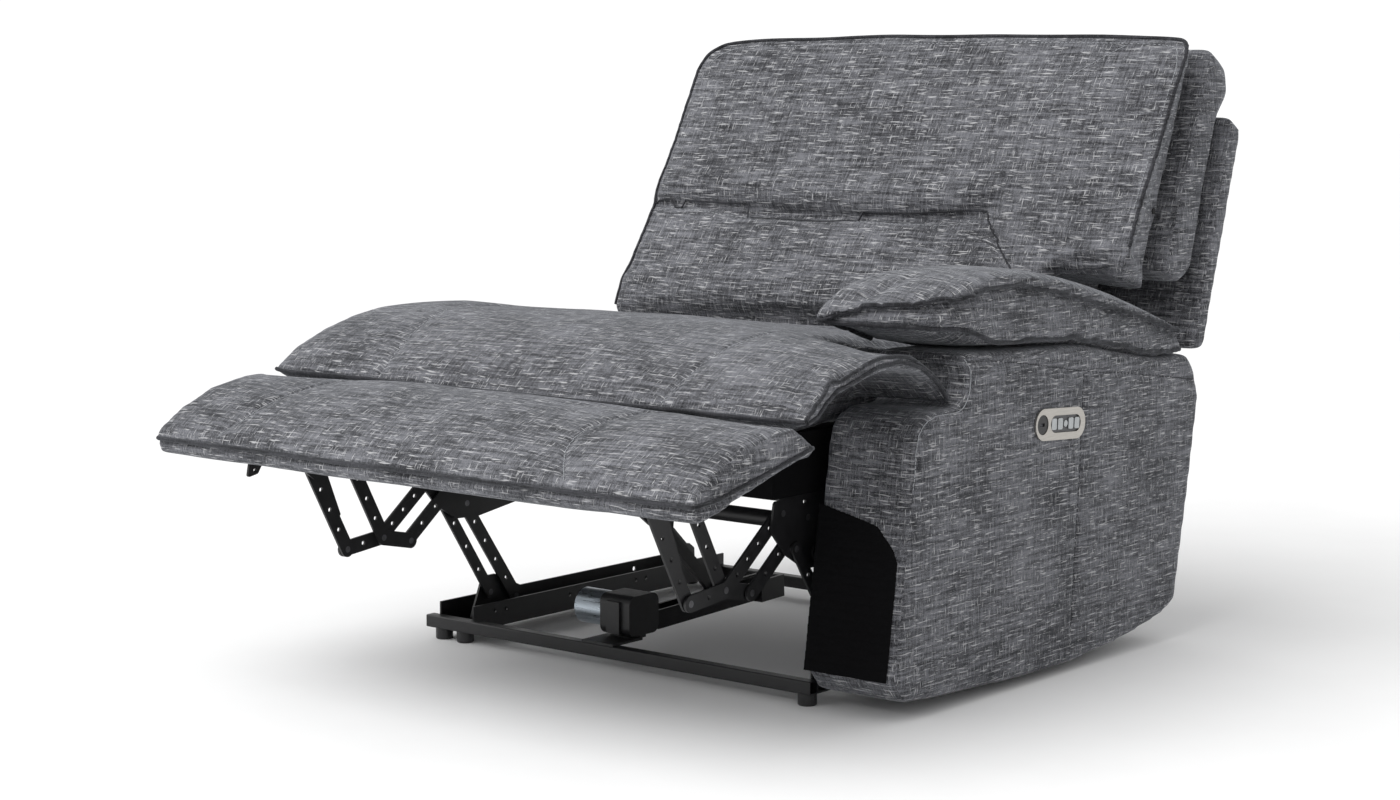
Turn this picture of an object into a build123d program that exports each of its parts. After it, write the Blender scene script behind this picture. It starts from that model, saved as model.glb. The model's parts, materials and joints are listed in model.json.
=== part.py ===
from build123d import *
import math
import os

# One-arm power reclining seat, in millimetres. X runs across the seat, with +X the sitter's left,
# where the arm is. The seat faces -Y and Z is up. Drawing coordinates (y, z) start at the front
# face of the base's front rail, on the floor. export() moves them so that y = 0 is mid-depth.
# The rest pose has the footrest out.

# Overall size
SEAT_LEFT = -535.0
ARM_OUTER = 532.0
ARM_INNER = 372.0
CUSHION_LEFT = -533.0
CUSHION_RIGHT = 525.0
BODY_RIGHT = 345.0
FRONT_MOST = -450.0
REAR_MOST = 958.0
MID_DEPTH = (FRONT_MOST + REAR_MOST) / 2

# Steel
PLATE = 4.0
PITCH = 6.0
LINK_HALF = 12.0
RIVET_R = 5.0
RUNNING = 0.08
RAIL = 20.0
RAIL_WALL = 1.8
FLANGE = 3.0
GLIDE_H = 18.0
GLIDE_R = 14.0
RAIL_END = 660.0

# Plane of each side plate, and which way is outward there
SIDES = {"left": (-362.0, -1), "right": (340.0, 1)}

# Pivots, in drawing coordinates (y, z)
LIFT_BASE = (165.0, 50.0)
LIFT_SEAT = (45.0, 220.0)
CONTROL_BASE = (104.4, 65.1)
CONTROL_SEAT = (-6.0, 231.0)
REAR_BASE = (612.2, 57.6)
REAR_SEAT = (424.8, 229.4)
MAIN_SEAT = (-30.0, 285.0)
CROSSING = (-152.0, 191.0)
STAGE_SHIFT = (58.7, -12.5)
CROSS_RISE = (-71.0, 132.0)
SECOND_ARM = (-77.0, -8.0)
BACK_PIVOT = (650.0, 320.0)
HEADREST_PIVOT = (760.0, 690.0)
PUSH_SEAT = (145.0, 199.1)
PUSH_CARRIAGE = (267.6, 88.0)
TRACK_TILT = 2.0


def shifted(point, step):
    return (point[0] + step[0], point[1] + step[1])


DRIVE_SEAT = shifted(MAIN_SEAT, STAGE_SHIFT)
ELBOW = shifted(CROSSING, STAGE_SHIFT)
CROSS_TOP = shifted(CROSSING, CROSS_RISE)
MAIN_END = shifted(CROSSING, SECOND_ARM)
FRONT_TOP = shifted(CROSS_TOP, SECOND_ARM)


def export(name, shape):
    export_step(Pos(0, -MID_DEPTH, 0) * shape, f"parts/{name}.step")


def slab(sketch, x_low, x_high):
    """Extrudes a sketch drawn in (y, z) from x_low to x_high."""
    return extrude(Plane.YZ.offset(x_low) * sketch, amount=x_high - x_low)


def outline(*points, radius=0.0):
    face = make_face(Polyline(*points, close=True))
    if radius:
        face = fillet(face.vertices(), radius)
    return face


def strip(points, half_width):
    """A bar of constant width with round ends, through the given points."""
    shape = Pos(*points[0]) * Circle(half_width)
    for near, far in zip(points, points[1:]):
        run = (far[0] - near[0], far[1] - near[1])
        length = math.hypot(*run)
        turn = math.degrees(math.atan2(run[1], run[0]))
        middle = ((near[0] + far[0]) / 2, (near[1] + far[1]) / 2)
        shape += Pos(*middle) * Rot(0, 0, turn) * Rectangle(length, 2 * half_width)
        shape += Pos(*far) * Circle(half_width)
    return shape


def holes(points, radius):
    cut = Sketch()
    for point in points:
        cut += Pos(*point) * Circle(radius)
    return cut


def rod(point, radius, x_low, x_high):
    """A round bar along X through (y, z)."""
    return slab(Pos(*point) * Circle(radius), x_low, x_high)


def layer(side, number):
    """X range of a steel layer: 0 is the side plate, positive numbers lie outward of it."""
    plane, outward = SIDES[side]
    centre = plane + outward * number * PITCH
    return centre - PLATE / 2, centre + PLATE / 2


def steel(side, number, sketch):
    return slab(sketch, *layer(side, number))


def rivet(side, own, other, point):
    """A rivet fast in layer own, with a collar in the gap, that ends flush with layer other."""
    own_range, other_range = layer(side, own), layer(side, other)
    shank = rod(point, RIVET_R, min(own_range + other_range), max(own_range + other_range))
    gap_low = min(own_range[1], other_range[1])
    gap_high = max(own_range[0], other_range[0])
    spare = 0.1
    if own_range[0] < other_range[0]:
        gap_high -= spare
    else:
        gap_low += spare
    return shank + rod(point, RIVET_R + 3, gap_low, gap_high)


def both_sides(make):
    return [make(side) for side in SIDES]


# ---------------------------------------------------------------- base

def box_rail(length_low, length_high, y_low, z_low):
    """A hollow square rail along X."""
    outer = Pos(y_low + RAIL / 2, z_low + RAIL / 2) * RectangleRounded(RAIL, RAIL, 2.5)
    inner = Pos(y_low + RAIL / 2, z_low + RAIL / 2) * Rectangle(RAIL - 2 * RAIL_WALL, RAIL - 2 * RAIL_WALL)
    return slab(outer - inner, length_low, length_high)


def drilled_flange(x_low, y_low, y_high, z_low, z_high, hole_spots, radius):
    body = Pos(x_low + FLANGE / 2, (y_low + y_high) / 2, (z_low + z_high) / 2) * Box(
        FLANGE, y_high - y_low, z_high - z_low
    )
    for y, z in hole_spots:
        body -= rod((y, z), radius, x_low - 1, x_low + FLANGE + 1)
    return body


LEFT_OUTER = -400.0
LEFT_INNER = -324.0
RIGHT_FLANGE = 354.0
RIGHT_EDGE = 368.0
FLANGE_TOP = 58.0
GANGING_Y = (180.0, 500.0)
GANGING_Z = 44.0
GANGING_R = 4.25


def front_rail():
    return box_rail(-411, RIGHT_EDGE, 0, GLIDE_H)


def rear_rail():
    return box_rail(LEFT_INNER, RIGHT_FLANGE, RAIL_END - RAIL, GLIDE_H)


def left_base_rail():
    ganging = [(y, GANGING_Z) for y in GANGING_Y]
    pairs = [(y + step, GANGING_Z) for y in (70, 250, 420, 590) for step in (0, 26)]
    floor = Pos((LEFT_OUTER + LEFT_INNER) / 2, (RAIL + RAIL_END) / 2, GLIDE_H + FLANGE / 2) * Box(
        LEFT_INNER - LEFT_OUTER, RAIL_END - RAIL, FLANGE
    )
    outer = drilled_flange(LEFT_OUTER, RAIL, RAIL_END, GLIDE_H, FLANGE_TOP, ganging, GANGING_R)
    inner = drilled_flange(LEFT_INNER - FLANGE, RAIL, RAIL_END, GLIDE_H, FLANGE_TOP, pairs, 3.5)
    return floor + outer + inner


def right_base_rail():
    pairs = [(y + step, GANGING_Z) for y in (70, 250, 420, 560) for step in (0, 26)]
    floor = Pos((RIGHT_FLANGE + RIGHT_EDGE) / 2, (RAIL + RAIL_END) / 2, GLIDE_H + FLANGE / 2) * Box(
        RIGHT_EDGE - RIGHT_FLANGE, RAIL_END - RAIL, FLANGE
    )
    return floor + drilled_flange(RIGHT_FLANGE, RAIL, RAIL_END, GLIDE_H, FLANGE_TOP, pairs, 3.5)


def base_pivot_plate(side):
    """The upright steel plates that carry the lower ends of the lift links."""
    front = outline((62, 22), (196, 22), (188, 62), (122, 92), (92, 92), radius=5)
    rear = outline((568, 22), (638, 22), (636, 66), (622, 76), (598, 76), radius=5)
    front -= holes([LIFT_BASE, CONTROL_BASE], RIVET_R)
    rear -= holes([REAR_BASE], RIVET_R)
    return steel(side, 2, front) + steel(side, 2, rear)


def base_rivets():
    group = []
    for side in SIDES:
        for point in (LIFT_BASE, CONTROL_BASE, REAR_BASE):
            group.append(rivet(side, 2, 1, point))
    return Compound(group)


GLIDE_SPOTS = [(-385, 15), (-338, 15), (352, 15), (-385, 640), (-338, 640), (352, 640)]


def floor_glides():
    group = []
    for x, y in GLIDE_SPOTS:
        pad = Pos(x, y, GLIDE_H / 2) * Cylinder(GLIDE_R, GLIDE_H)
        group.append(chamfer(pad.edges().group_by(Axis.Z)[0], 1.5))
    return Compound(group)


# ---------------------------------------------------------------- actuator

GEAR_X = (-72.0, -12.0)
GEAR_Y = (42.0, 112.0)
GEAR_Z = (44.0, 108.0)
TRACK_X = -30.0
TRACK_END = 430.0


def along_track(y, offset=0.0):
    """Height of the track's centre line at y."""
    return PUSH_CARRIAGE[1] - 20 + offset + (y - PUSH_CARRIAGE[0]) * math.tan(math.radians(TRACK_TILT))


def actuator_bracket():
    """Channel clip that bolts the gearbox to the front rail."""
    foot = Pos(-42, 36, GLIDE_H + RAIL + 2) * Box(64, 70, 4)
    back = Pos(-42, 73, GLIDE_H + RAIL + 2.5) * Box(40, 40, 5)
    return foot + back


def actuator_gearbox():
    x_mid = sum(GEAR_X) / 2
    size = (GEAR_X[1] - GEAR_X[0], GEAR_Y[1] - GEAR_Y[0], GEAR_Z[1] - GEAR_Z[0] - 1)
    case = Pos(x_mid, sum(GEAR_Y) / 2, (GEAR_Z[0] + 1 + GEAR_Z[1]) / 2) * Box(*size)
    case = fillet(case.edges().filter_by(Axis.X), 14)
    rib = Pos(x_mid, GEAR_Y[0] - 2, 74) * Box(26, 6, 50)
    return case + rib


def actuator_motor():
    can = rod((76, 78), 28, GEAR_X[0] - 62, GEAR_X[0])
    can = chamfer(can.edges().group_by(Axis.X)[0], 3)
    return can + rod((76, 78), 8, GEAR_X[0] - 70, GEAR_X[0] - 62)


def track_frame():
    y = (GEAR_Y[1] + TRACK_END) / 2
    return Pos(TRACK_X, y, along_track(y)) * Rot(TRACK_TILT, 0, 0)


def actuator_track():
    """An open-topped extruded channel with the lead screw inside it."""
    length = TRACK_END - GEAR_Y[1] - 1
    body = Box(34, length, 30) - Pos(0, 0, 5) * Box(26, length + 2, 26)
    return track_frame() * body


def lead_screw():
    length = TRACK_END - GEAR_Y[1] - 8
    return track_frame() * Rot(90, 0, 0) * Cylinder(5, length)


def track_end_bracket():
    """U-shaped steel strap under the track's rear end."""
    strap = Box(46, 60, 36) - Pos(0, 0, 4) * Box(34.6, 62, 36)
    y = TRACK_END - 34
    return Pos(TRACK_X, y, along_track(y) - 1.05) * Rot(TRACK_TILT, 0, 0) * strap


def actuator_carriage():
    """The nut block that the lead screw drives along the track."""
    block = Box(24, 44, 15) - Rot(90, 0, 0) * Cylinder(5.4, 60)
    block = Pos(TRACK_X, PUSH_CARRIAGE[0], along_track(PUSH_CARRIAGE[0])) * Rot(TRACK_TILT, 0, 0) * block
    neck = outline(
        (PUSH_CARRIAGE[0] - 12, along_track(PUSH_CARRIAGE[0], 6)),
        (PUSH_CARRIAGE[0] + 12, along_track(PUSH_CARRIAGE[0], 6)),
        (PUSH_CARRIAGE[0] + 12, PUSH_CARRIAGE[1]),
        (PUSH_CARRIAGE[0] - 12, PUSH_CARRIAGE[1]),
    )
    lug = neck + Pos(*PUSH_CARRIAGE) * Circle(12) - Pos(*PUSH_CARRIAGE) * Circle(RIVET_R)
    block += slab(lug, TRACK_X - 10, TRACK_X - 6) + slab(lug, TRACK_X + 6, TRACK_X + 10)
    return Compound([block, rod(PUSH_CARRIAGE, RIVET_R, TRACK_X - 12, TRACK_X + 12)])


def push_link():
    sketch = strip([PUSH_CARRIAGE, PUSH_SEAT], 10)
    sketch -= holes([PUSH_CARRIAGE], RIVET_R + RUNNING)
    sketch -= holes([PUSH_SEAT], RIVET_R + 1.7)
    return slab(sketch, TRACK_X - 5, TRACK_X + 5)


# ---------------------------------------------------------------- seat carriage

CROSS_TUBE = (150.0, 238.0)
REAR_TUBE = (590.0, 262.0)
TUBE_R = 12.7


def side_plate(side):
    """Pressed side plate with lightening openings and a row of punched holes."""
    shape = outline(
        (-58, 262), (-50, 304), (590, 304), (622, 342), (672, 342), (682, 312), (660, 268),
        (600, 238), (470, 214), (400, 208), (300, 232), (190, 214), (70, 196), (20, 198),
        (-24, 224), radius=6,
    )
    shape -= outline((205, 246), (290, 262), (286, 288), (190, 288), radius=5)
    shape -= outline((330, 286), (372, 286), (350, 252), radius=4)
    shape -= outline((462, 244), (540, 256), (560, 286), (462, 286), radius=5)
    shape -= outline((70, 244), (96, 236), (118, 258), (96, 284), (66, 278), radius=4)
    shape -= holes([(y, 296) for y in range(20, 560, 60)], 3.5)
    shape -= holes([LIFT_SEAT, CONTROL_SEAT, REAR_SEAT, MAIN_SEAT, DRIVE_SEAT, BACK_PIVOT], RIVET_R)
    shape -= holes([CROSS_TUBE, REAR_TUBE], TUBE_R)
    return steel(side, 0, shape)


def side_plate_flange(side):
    """Folded angle along the plate's top that the wooden seat box is screwed to."""
    low, high = layer(side, 0)
    outward = SIDES[side][1]
    if outward > 0:
        x_low, x_high = low - 30, high
    else:
        x_low, x_high = low, high + 30
    return slab(outline((-40, 304), (-40, 308), (588, 308), (588, 304)), x_low, x_high)


def seat_rivets():
    group = []
    for side in SIDES:
        for point in (LIFT_SEAT, CONTROL_SEAT, REAR_SEAT):
            group.append(rivet(side, 0, 1, point))
        for point in (MAIN_SEAT, DRIVE_SEAT, BACK_PIVOT):
            group.append(rivet(side, 0, -1, point))
    return Compound(group)


def cross_tube(point):
    ring = Pos(*point) * (Circle(TUBE_R) - Circle(TUBE_R - 2))
    return slab(ring, layer("left", 0)[0], layer("right", 0)[1])


def front_cross_tube():
    """Tube between the side plates, with the welded ears and pin that the actuator pushes."""
    ear = strip([CROSS_TUBE, PUSH_SEAT], 11) - Pos(*CROSS_TUBE) * Circle(TUBE_R - 1)
    tube = cross_tube(CROSS_TUBE)
    for x_low in (TRACK_X - 11, TRACK_X + 7):
        tube += slab(ear, x_low, x_low + PLATE)
    return tube + rod(PUSH_SEAT, RIVET_R, TRACK_X - 13, TRACK_X + 13)


BOARD = 20.0
BOX_LOW = 308.0
BOX_HIGH = 398.0
BOX_LEFT = -520.0
BOX_FRONT = -60.0
BOX_REAR = 588.0


def board(x_low, x_high, y_low, y_high, z_low, z_high):
    centre = ((x_low + x_high) / 2, (y_low + y_high) / 2, (z_low + z_high) / 2)
    return Pos(*centre) * Box(x_high - x_low, y_high - y_low, z_high - z_low)


SPRING_WIRE = 4.0
SPRING_SWING = 20.0
SPRING_PITCH = 27.0


def seat_springs():
    """Zigzag springs that carry the cushion, strung between the front and rear boards."""
    near, far = BOX_FRONT + BOARD, BOX_REAR - BOARD
    turns = int((far - near) / SPRING_PITCH)
    pitch = (far - near) / turns
    spots = [(0, near)]
    for turn in range(1, turns):
        swing = SPRING_SWING if turn % 2 else -SPRING_SWING
        spots.append((swing, near + turn * pitch))
    spots.append((0, far))
    zigzag = strip(spots, SPRING_WIRE / 2) - Pos(0, near - 5) * Rectangle(20, 10)
    zigzag -= Pos(0, far + 5) * Rectangle(20, 10)
    spring = Pos(0, 0, BOX_HIGH - 12) * extrude(zigzag, SPRING_WIRE)
    return Compound([Pos(x, 0, 0) * spring for x in range(-430, 300, 132)])


# ---------------------------------------------------------------- lift links

PUNCH_R = 3.5


def punched(first, last, count):
    """A row of punched holes evenly spaced between two pivots."""
    steps = [k / (count + 1) for k in range(1, count + 1)]
    return holes([(first[0] + (last[0] - first[0]) * t, first[1] + (last[1] - first[1]) * t) for t in steps], PUNCH_R)


def lift_link(side):
    shape = strip([LIFT_BASE, LIFT_SEAT], LINK_HALF)
    shape -= holes([LIFT_BASE, LIFT_SEAT], RIVET_R + RUNNING)
    shape -= punched(LIFT_BASE, LIFT_SEAT, 4)
    return steel(side, 1, shape)


def control_link(side):
    shape = strip([CONTROL_BASE, CONTROL_SEAT], 10)
    shape -= holes([CONTROL_BASE], RIVET_R + RUNNING)
    shape -= holes([CONTROL_SEAT], RIVET_R + 0.3)
    shape -= punched(CONTROL_BASE, CONTROL_SEAT, 3)
    return steel(side, 1, shape)


def rear_link(side):
    shape = strip([REAR_BASE, REAR_SEAT], LINK_HALF)
    shape -= holes([REAR_BASE], RIVET_R + RUNNING)
    shape -= holes([REAR_SEAT], RIVET_R + 1.7)
    shape -= punched(REAR_BASE, REAR_SEAT, 4)
    return steel(side, 1, shape)


# ---------------------------------------------------------------- footrest linkage

def main_link(side):
    shape = strip([MAIN_SEAT, CROSSING, MAIN_END], LINK_HALF)
    shape -= holes([MAIN_SEAT, CROSSING, MAIN_END], RIVET_R + RUNNING)
    shape -= punched(MAIN_SEAT, CROSSING, 4)
    shape -= punched(CROSSING, MAIN_END, 1)
    return steel(side, -1, shape)


def drive_link(side):
    shape = strip([DRIVE_SEAT, ELBOW], LINK_HALF)
    shape -= holes([DRIVE_SEAT, ELBOW], RIVET_R + RUNNING)
    shape -= punched(DRIVE_SEAT, ELBOW, 3)
    return steel(side, -1, shape)


def cross_link(side):
    shape = strip([ELBOW, CROSSING, CROSS_TOP], LINK_HALF)
    shape -= holes([CROSSING, ELBOW], RIVET_R)
    shape -= holes([CROSS_TOP], RIVET_R + RUNNING)
    shape -= punched(CROSSING, CROSS_TOP, 3)
    return steel(side, -2, shape)


def front_link(side):
    shape = strip([MAIN_END, FRONT_TOP], LINK_HALF)
    shape += outline(shifted(MAIN_END, (6, 8)), shifted(FRONT_TOP, (26, 2)), shifted(FRONT_TOP, (4, 11)), radius=3)
    shape -= holes([MAIN_END], RIVET_R)
    shape -= holes([FRONT_TOP], RIVET_R + RUNNING)
    shape -= punched(MAIN_END, FRONT_TOP, 3)
    return steel(side, -2, shape)


def cross_rivets():
    return Compound([rivet(side, -2, -1, point) for side in SIDES for point in (CROSSING, ELBOW)])


def front_rivets():
    return Compound([rivet(side, -2, -1, MAIN_END) for side in SIDES])


def footrest_bracket(side):
    """Triangular plate under the footrest board, carried by the two link ends."""
    shape = outline((-398, 345.8), (-206, 391.8), (-206, 330), (-222, 309), (-300, 300), (-330, 322), radius=6)
    shape -= outline((-300, 342), (-252, 352), (-262, 330), radius=3)
    shape -= holes([CROSS_TOP, FRONT_TOP], RIVET_R)
    shape -= Pos(-345, 340) * Circle(3.5)
    return steel(side, -3, shape)


def bracket_rivets():
    return Compound([rivet(side, -3, -2, point) for side in SIDES for point in (CROSS_TOP, FRONT_TOP)])


FOOT_BOARD = ((-436, 337), (-436, 352), (-190, 411), (-190, 396))


def footrest_board():
    return slab(outline(*FOOT_BOARD), CUSHION_LEFT + 4, CUSHION_RIGHT - 4)


def footrest_pad():
    shape = outline(
        (-436, 352.5), (FRONT_MOST, 375), (-401, 408), (-345, 433), (-281, 444), (-238, 446),
        (-225, 437), (-200, 420), (-190, 411.5),
    )
    return slab(shape, CUSHION_LEFT, CUSHION_RIGHT)


def front_stop():
    """Small two-hole bracket under the footrest's front edge."""
    shape = outline((-428, 338.5), (-396, 346), (-412, 322), (-432, 318), radius=3)
    shape -= holes([(-418, 328), (-414, 338)], 2.5)
    return steel("left", -3, shape)


# ---------------------------------------------------------------- soft seat

def seat_cushion():
    shape = outline(
        (-213, 437), (-217, 455), (-177, 483), (-112, 515), (-57, 534), (-2, 543), (66, 542),
        (158, 528), (230, 518), (560, 483), (560, 400), (-64, 400), (-150, 424),
    )
    return slab(shape, CUSHION_LEFT, BODY_RIGHT)


def seat_wing():
    """The end of the seat cushion that laps over the arm's front ledge."""
    shape = outline(
        (-213, 437), (-217, 455), (-177, 483), (-112, 515), (-57, 534), (-2, 538), (44, 530),
        (100, 500), (136, 468), (146, 446), (136, 440), (108, 470), (66, 496), (7, 508),
        (-53, 503), (-121, 479), (-177, 447),
    )
    return slab(shape, BODY_RIGHT, CUSHION_RIGHT)


# ---------------------------------------------------------------- arm

ARM_PROFILE = (
    (-20, 60), (32, 403), (47, 422), (76, 434), (138, 434), (158, 452), (163, 484), (146, 506),
    (160, 512), (466, 500), (700, 462), (790, 462), (812, 440), (832, 391), (766, 63),
    (725, 45), (616, 27), (447, 12), (196, 17), (10, 27),
)
ARM_SKIN = 12.0


def arm_sketch(inset=0.0):
    face = outline(*ARM_PROFILE)
    if inset:
        face = offset(face, amount=-inset)
    return face


def arm_cover():
    """The padded, fabric-covered outside of the arm, a closed shell."""
    skin = slab(arm_sketch(), ARM_INNER, ARM_OUTER)
    hollow = slab(arm_sketch(ARM_SKIN), ARM_INNER + ARM_SKIN, ARM_OUTER - ARM_SKIN)
    return skin - hollow


def arm_boards():
    """Plywood sides with stiffening rails between them, inside the arm cover."""
    inner = slab(arm_sketch(ARM_SKIN + 0.5), ARM_INNER + ARM_SKIN + 0.5, ARM_INNER + ARM_SKIN + 15.5)
    outer = slab(arm_sketch(ARM_SKIN + 0.5), ARM_OUTER - ARM_SKIN - 15.5, ARM_OUTER - ARM_SKIN - 0.5)
    x_low, x_high = ARM_INNER + ARM_SKIN + 15.5, ARM_OUTER - ARM_SKIN - 15.5
    spots = ((60, 60, 40, 120), (60, 330, 40, 50), (420, 40, 60, 30), (700, 90, 30, 120), (430, 420, 90, 22))
    rails = [board(x_low, x_high, y, y + depth, z, z + height) for y, z, depth, height in spots]
    return Compound([inner, outer] + rails)


def arm_pad():
    """Pad on the arm's top, whose outer front corner is swept back."""
    shape = outline(
        (38, 552), (40, 580), (70, 606), (130, 622), (202, 627), (391, 609), (596, 560),
        (735, 518), (768, 490), (768, 466), (700, 466), (466, 504), (166, 516), (112, 536),
    )
    swept_front = extrude(
        make_face(Polyline((380, 30), (430, 52), (480, 88), (515, 130), (535, 180), (545, 30), close=True)),
        amount=700,
    )
    return slab(shape, BODY_RIGHT + 4, ARM_OUTER) - swept_front


PANEL_Y = 400.0
PANEL_Z = 387.0
PANEL_LENGTH = 139.0
PANEL_HEIGHT = 48.0
BEZEL_PROUD = 3.0


def on_panel(sketch, x_low, x_high):
    return slab(Pos(PANEL_Y, PANEL_Z) * Rot(0, 0, -3.3) * sketch, x_low, x_high)


PORT_SPOT = (-50.0, 0.0)
WELL_SPOT = (14.0, 0.0)
WELL_LENGTH = 84.0
WELL_HEIGHT = 26.0
BUTTON_LENGTH = 15.0
BUTTON_PITCH = 17.0


def pill(length, height):
    return SlotOverall(length, height)


def bezel():
    ring = pill(PANEL_LENGTH, PANEL_HEIGHT) - Pos(*PORT_SPOT) * Circle(15) - Pos(*WELL_SPOT) * pill(
        WELL_LENGTH, WELL_HEIGHT
    )
    return on_panel(ring, ARM_OUTER, ARM_OUTER + BEZEL_PROUD)


def button_well():
    """Shallow tray behind the buttons."""
    return on_panel(Pos(*WELL_SPOT) * pill(WELL_LENGTH - 0.4, WELL_HEIGHT - 0.4), ARM_OUTER, ARM_OUTER + 0.6)


def power_port():
    ring = Circle(14.8) - Rectangle(12, 5)
    return on_panel(Pos(*PORT_SPOT) * ring, ARM_OUTER, ARM_OUTER + 2)


BUTTONS = {"recline_back": -2, "recline_forward": -1, "home": 0, "headrest_forward": 1, "headrest_back": 2}


def button(name):
    step = BUTTONS[name]
    face = Circle(5) if name == "home" else RectangleRounded(BUTTON_LENGTH - 1.5, 17, 3)
    spread = step * BUTTON_PITCH - (4 * (step > 0) - 4 * (step < 0)) * 0.5
    centre = (WELL_SPOT[0] + spread, 0)
    return on_panel(Pos(*centre) * face, ARM_OUTER + 1.9, ARM_OUTER + 2.9)


def arm_mounts():
    """Tabs that tie the arm to the right side plate."""
    low = layer("right", 0)[1]
    tabs = [board(low - 1, ARM_INNER, y, y + 60, 296, 300) for y in (215, 470)]
    return tabs[0] + tabs[1]


CLOTH = 2.0
CLOTH_TOP = 299.0


def arm_front_cloth():
    """Black cloth over the arm's lower front, which the closed footrest hides."""
    low, edge_top = ARM_PROFILE[:2]
    share = (CLOTH_TOP - low[1]) / (edge_top[1] - low[1])
    high = (low[0] + share * (edge_top[0] - low[0]), CLOTH_TOP)
    face = outline(low, high, shifted(high, (-CLOTH, 0)), shifted(low, (-CLOTH, 0)))
    sheet = slab(face, ARM_INNER, ARM_OUTER - 14)
    shoulder = Plane.XZ * make_face(
        Polyline((ARM_INNER - 5, CLOTH_TOP + 1), (478, 276), (508, 246), (ARM_OUTER, 200), (ARM_OUTER, 400),
                 (ARM_INNER - 5, 400), close=True)
    )
    return sheet - extrude(shoulder, amount=80, both=True)


# ---------------------------------------------------------------- back

CUSHION_X = (-520.0, 500.0)
CLEAR_R = 223.0


def clear_of_arm():
    """The space that the arm's rear corner needs while the back reclines."""
    return rod(BACK_PIVOT, CLEAR_R, BODY_RIGHT, ARM_OUTER + 5)


def back_outer():
    """Padded outer back, full width, behind the arm too."""
    full = outline((770, 345), (796, 432), (921, 838), (940, 842), (REAR_MOST, 824), (832, 424), (808, 345))
    tall = slab(full, SEAT_LEFT, BODY_RIGHT)
    behind_arm = slab(full, BODY_RIGHT, ARM_OUTER) - clear_of_arm()
    lower = board(BODY_RIGHT, ARM_OUTER + 5, 700, 1000, 300, 462)
    return tall + (behind_arm - lower)


def back_gusset():
    """Boxed filling between the front cushion and the outer back."""
    shape = outline((725, 500), (738, 575), (787, 692), (868, 692), (812, 500))
    wing = outline((751, 596), (787, 692), (868, 692), (838, 590), (800, 570))
    return slab(shape, CUSHION_X[0], BODY_RIGHT) + slab(wing, BODY_RIGHT, CUSHION_X[1] + 12)


def lumbar_cushion():
    shape = outline((574, 497), (676, 672), (756, 684), (780, 684), (733, 575), (719, 500), (640, 488))
    wing = outline((645, 612), (668, 588), (730, 572), (746, 600), (780, 684), (756, 684), (676, 672))
    return slab(shape, CUSHION_X[0], BODY_RIGHT) + slab(wing, BODY_RIGHT, CUSHION_X[1])


def back_lower():
    """Cloth-covered lower back, between the seat cushion and the hinge."""
    shape = outline((640, 350), (640, 470), (722, 498), (810, 498), (768, 350))
    return slab(shape, layer("left", -1)[1], layer("right", -1)[0])


HINGE_R = 5.0


def headrest_hinge():
    """Round bar the headrest turns on, with two straps screwed down on the lower back."""
    straps = strip([HEADREST_PIVOT, (783.5, 688.5), (735.5, 575), (722, 500)], 1.5)
    foot = outline((721, 498), (765, 498), (765, 500), (721, 500))
    hinge = rod(HEADREST_PIVOT, HINGE_R, CUSHION_X[0] + 20, CUSHION_X[1] - 20)
    for x_low in (-300, 260):
        hinge += slab(straps + foot, x_low, x_low + 24)
    return hinge


def headrest_cushion():
    shape = outline(
        (764, 696), (704, 728), (829, 950), (850, 970), (872, 976), (885, 966), (888, 948), (786, 700),
    )
    return slab(shape, *CUSHION_X)


def headrest_gusset():
    shape = outline(
        (790, 700), (892, 948), (918, 952), (946, 916), (948, 872), (932, 854), (914, 836), (868, 700),
    )
    return slab(shape, CUSHION_X[0], CUSHION_X[1] + 12)


def back_bracket(side):
    """Steel hinge bracket between the side plate's rear pivot and the back."""
    shape = strip([BACK_PIVOT, (690, 372), (700, 396)], 13)
    shape -= holes([BACK_PIVOT], RIVET_R + RUNNING)
    return steel(side, -1, shape)


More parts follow.
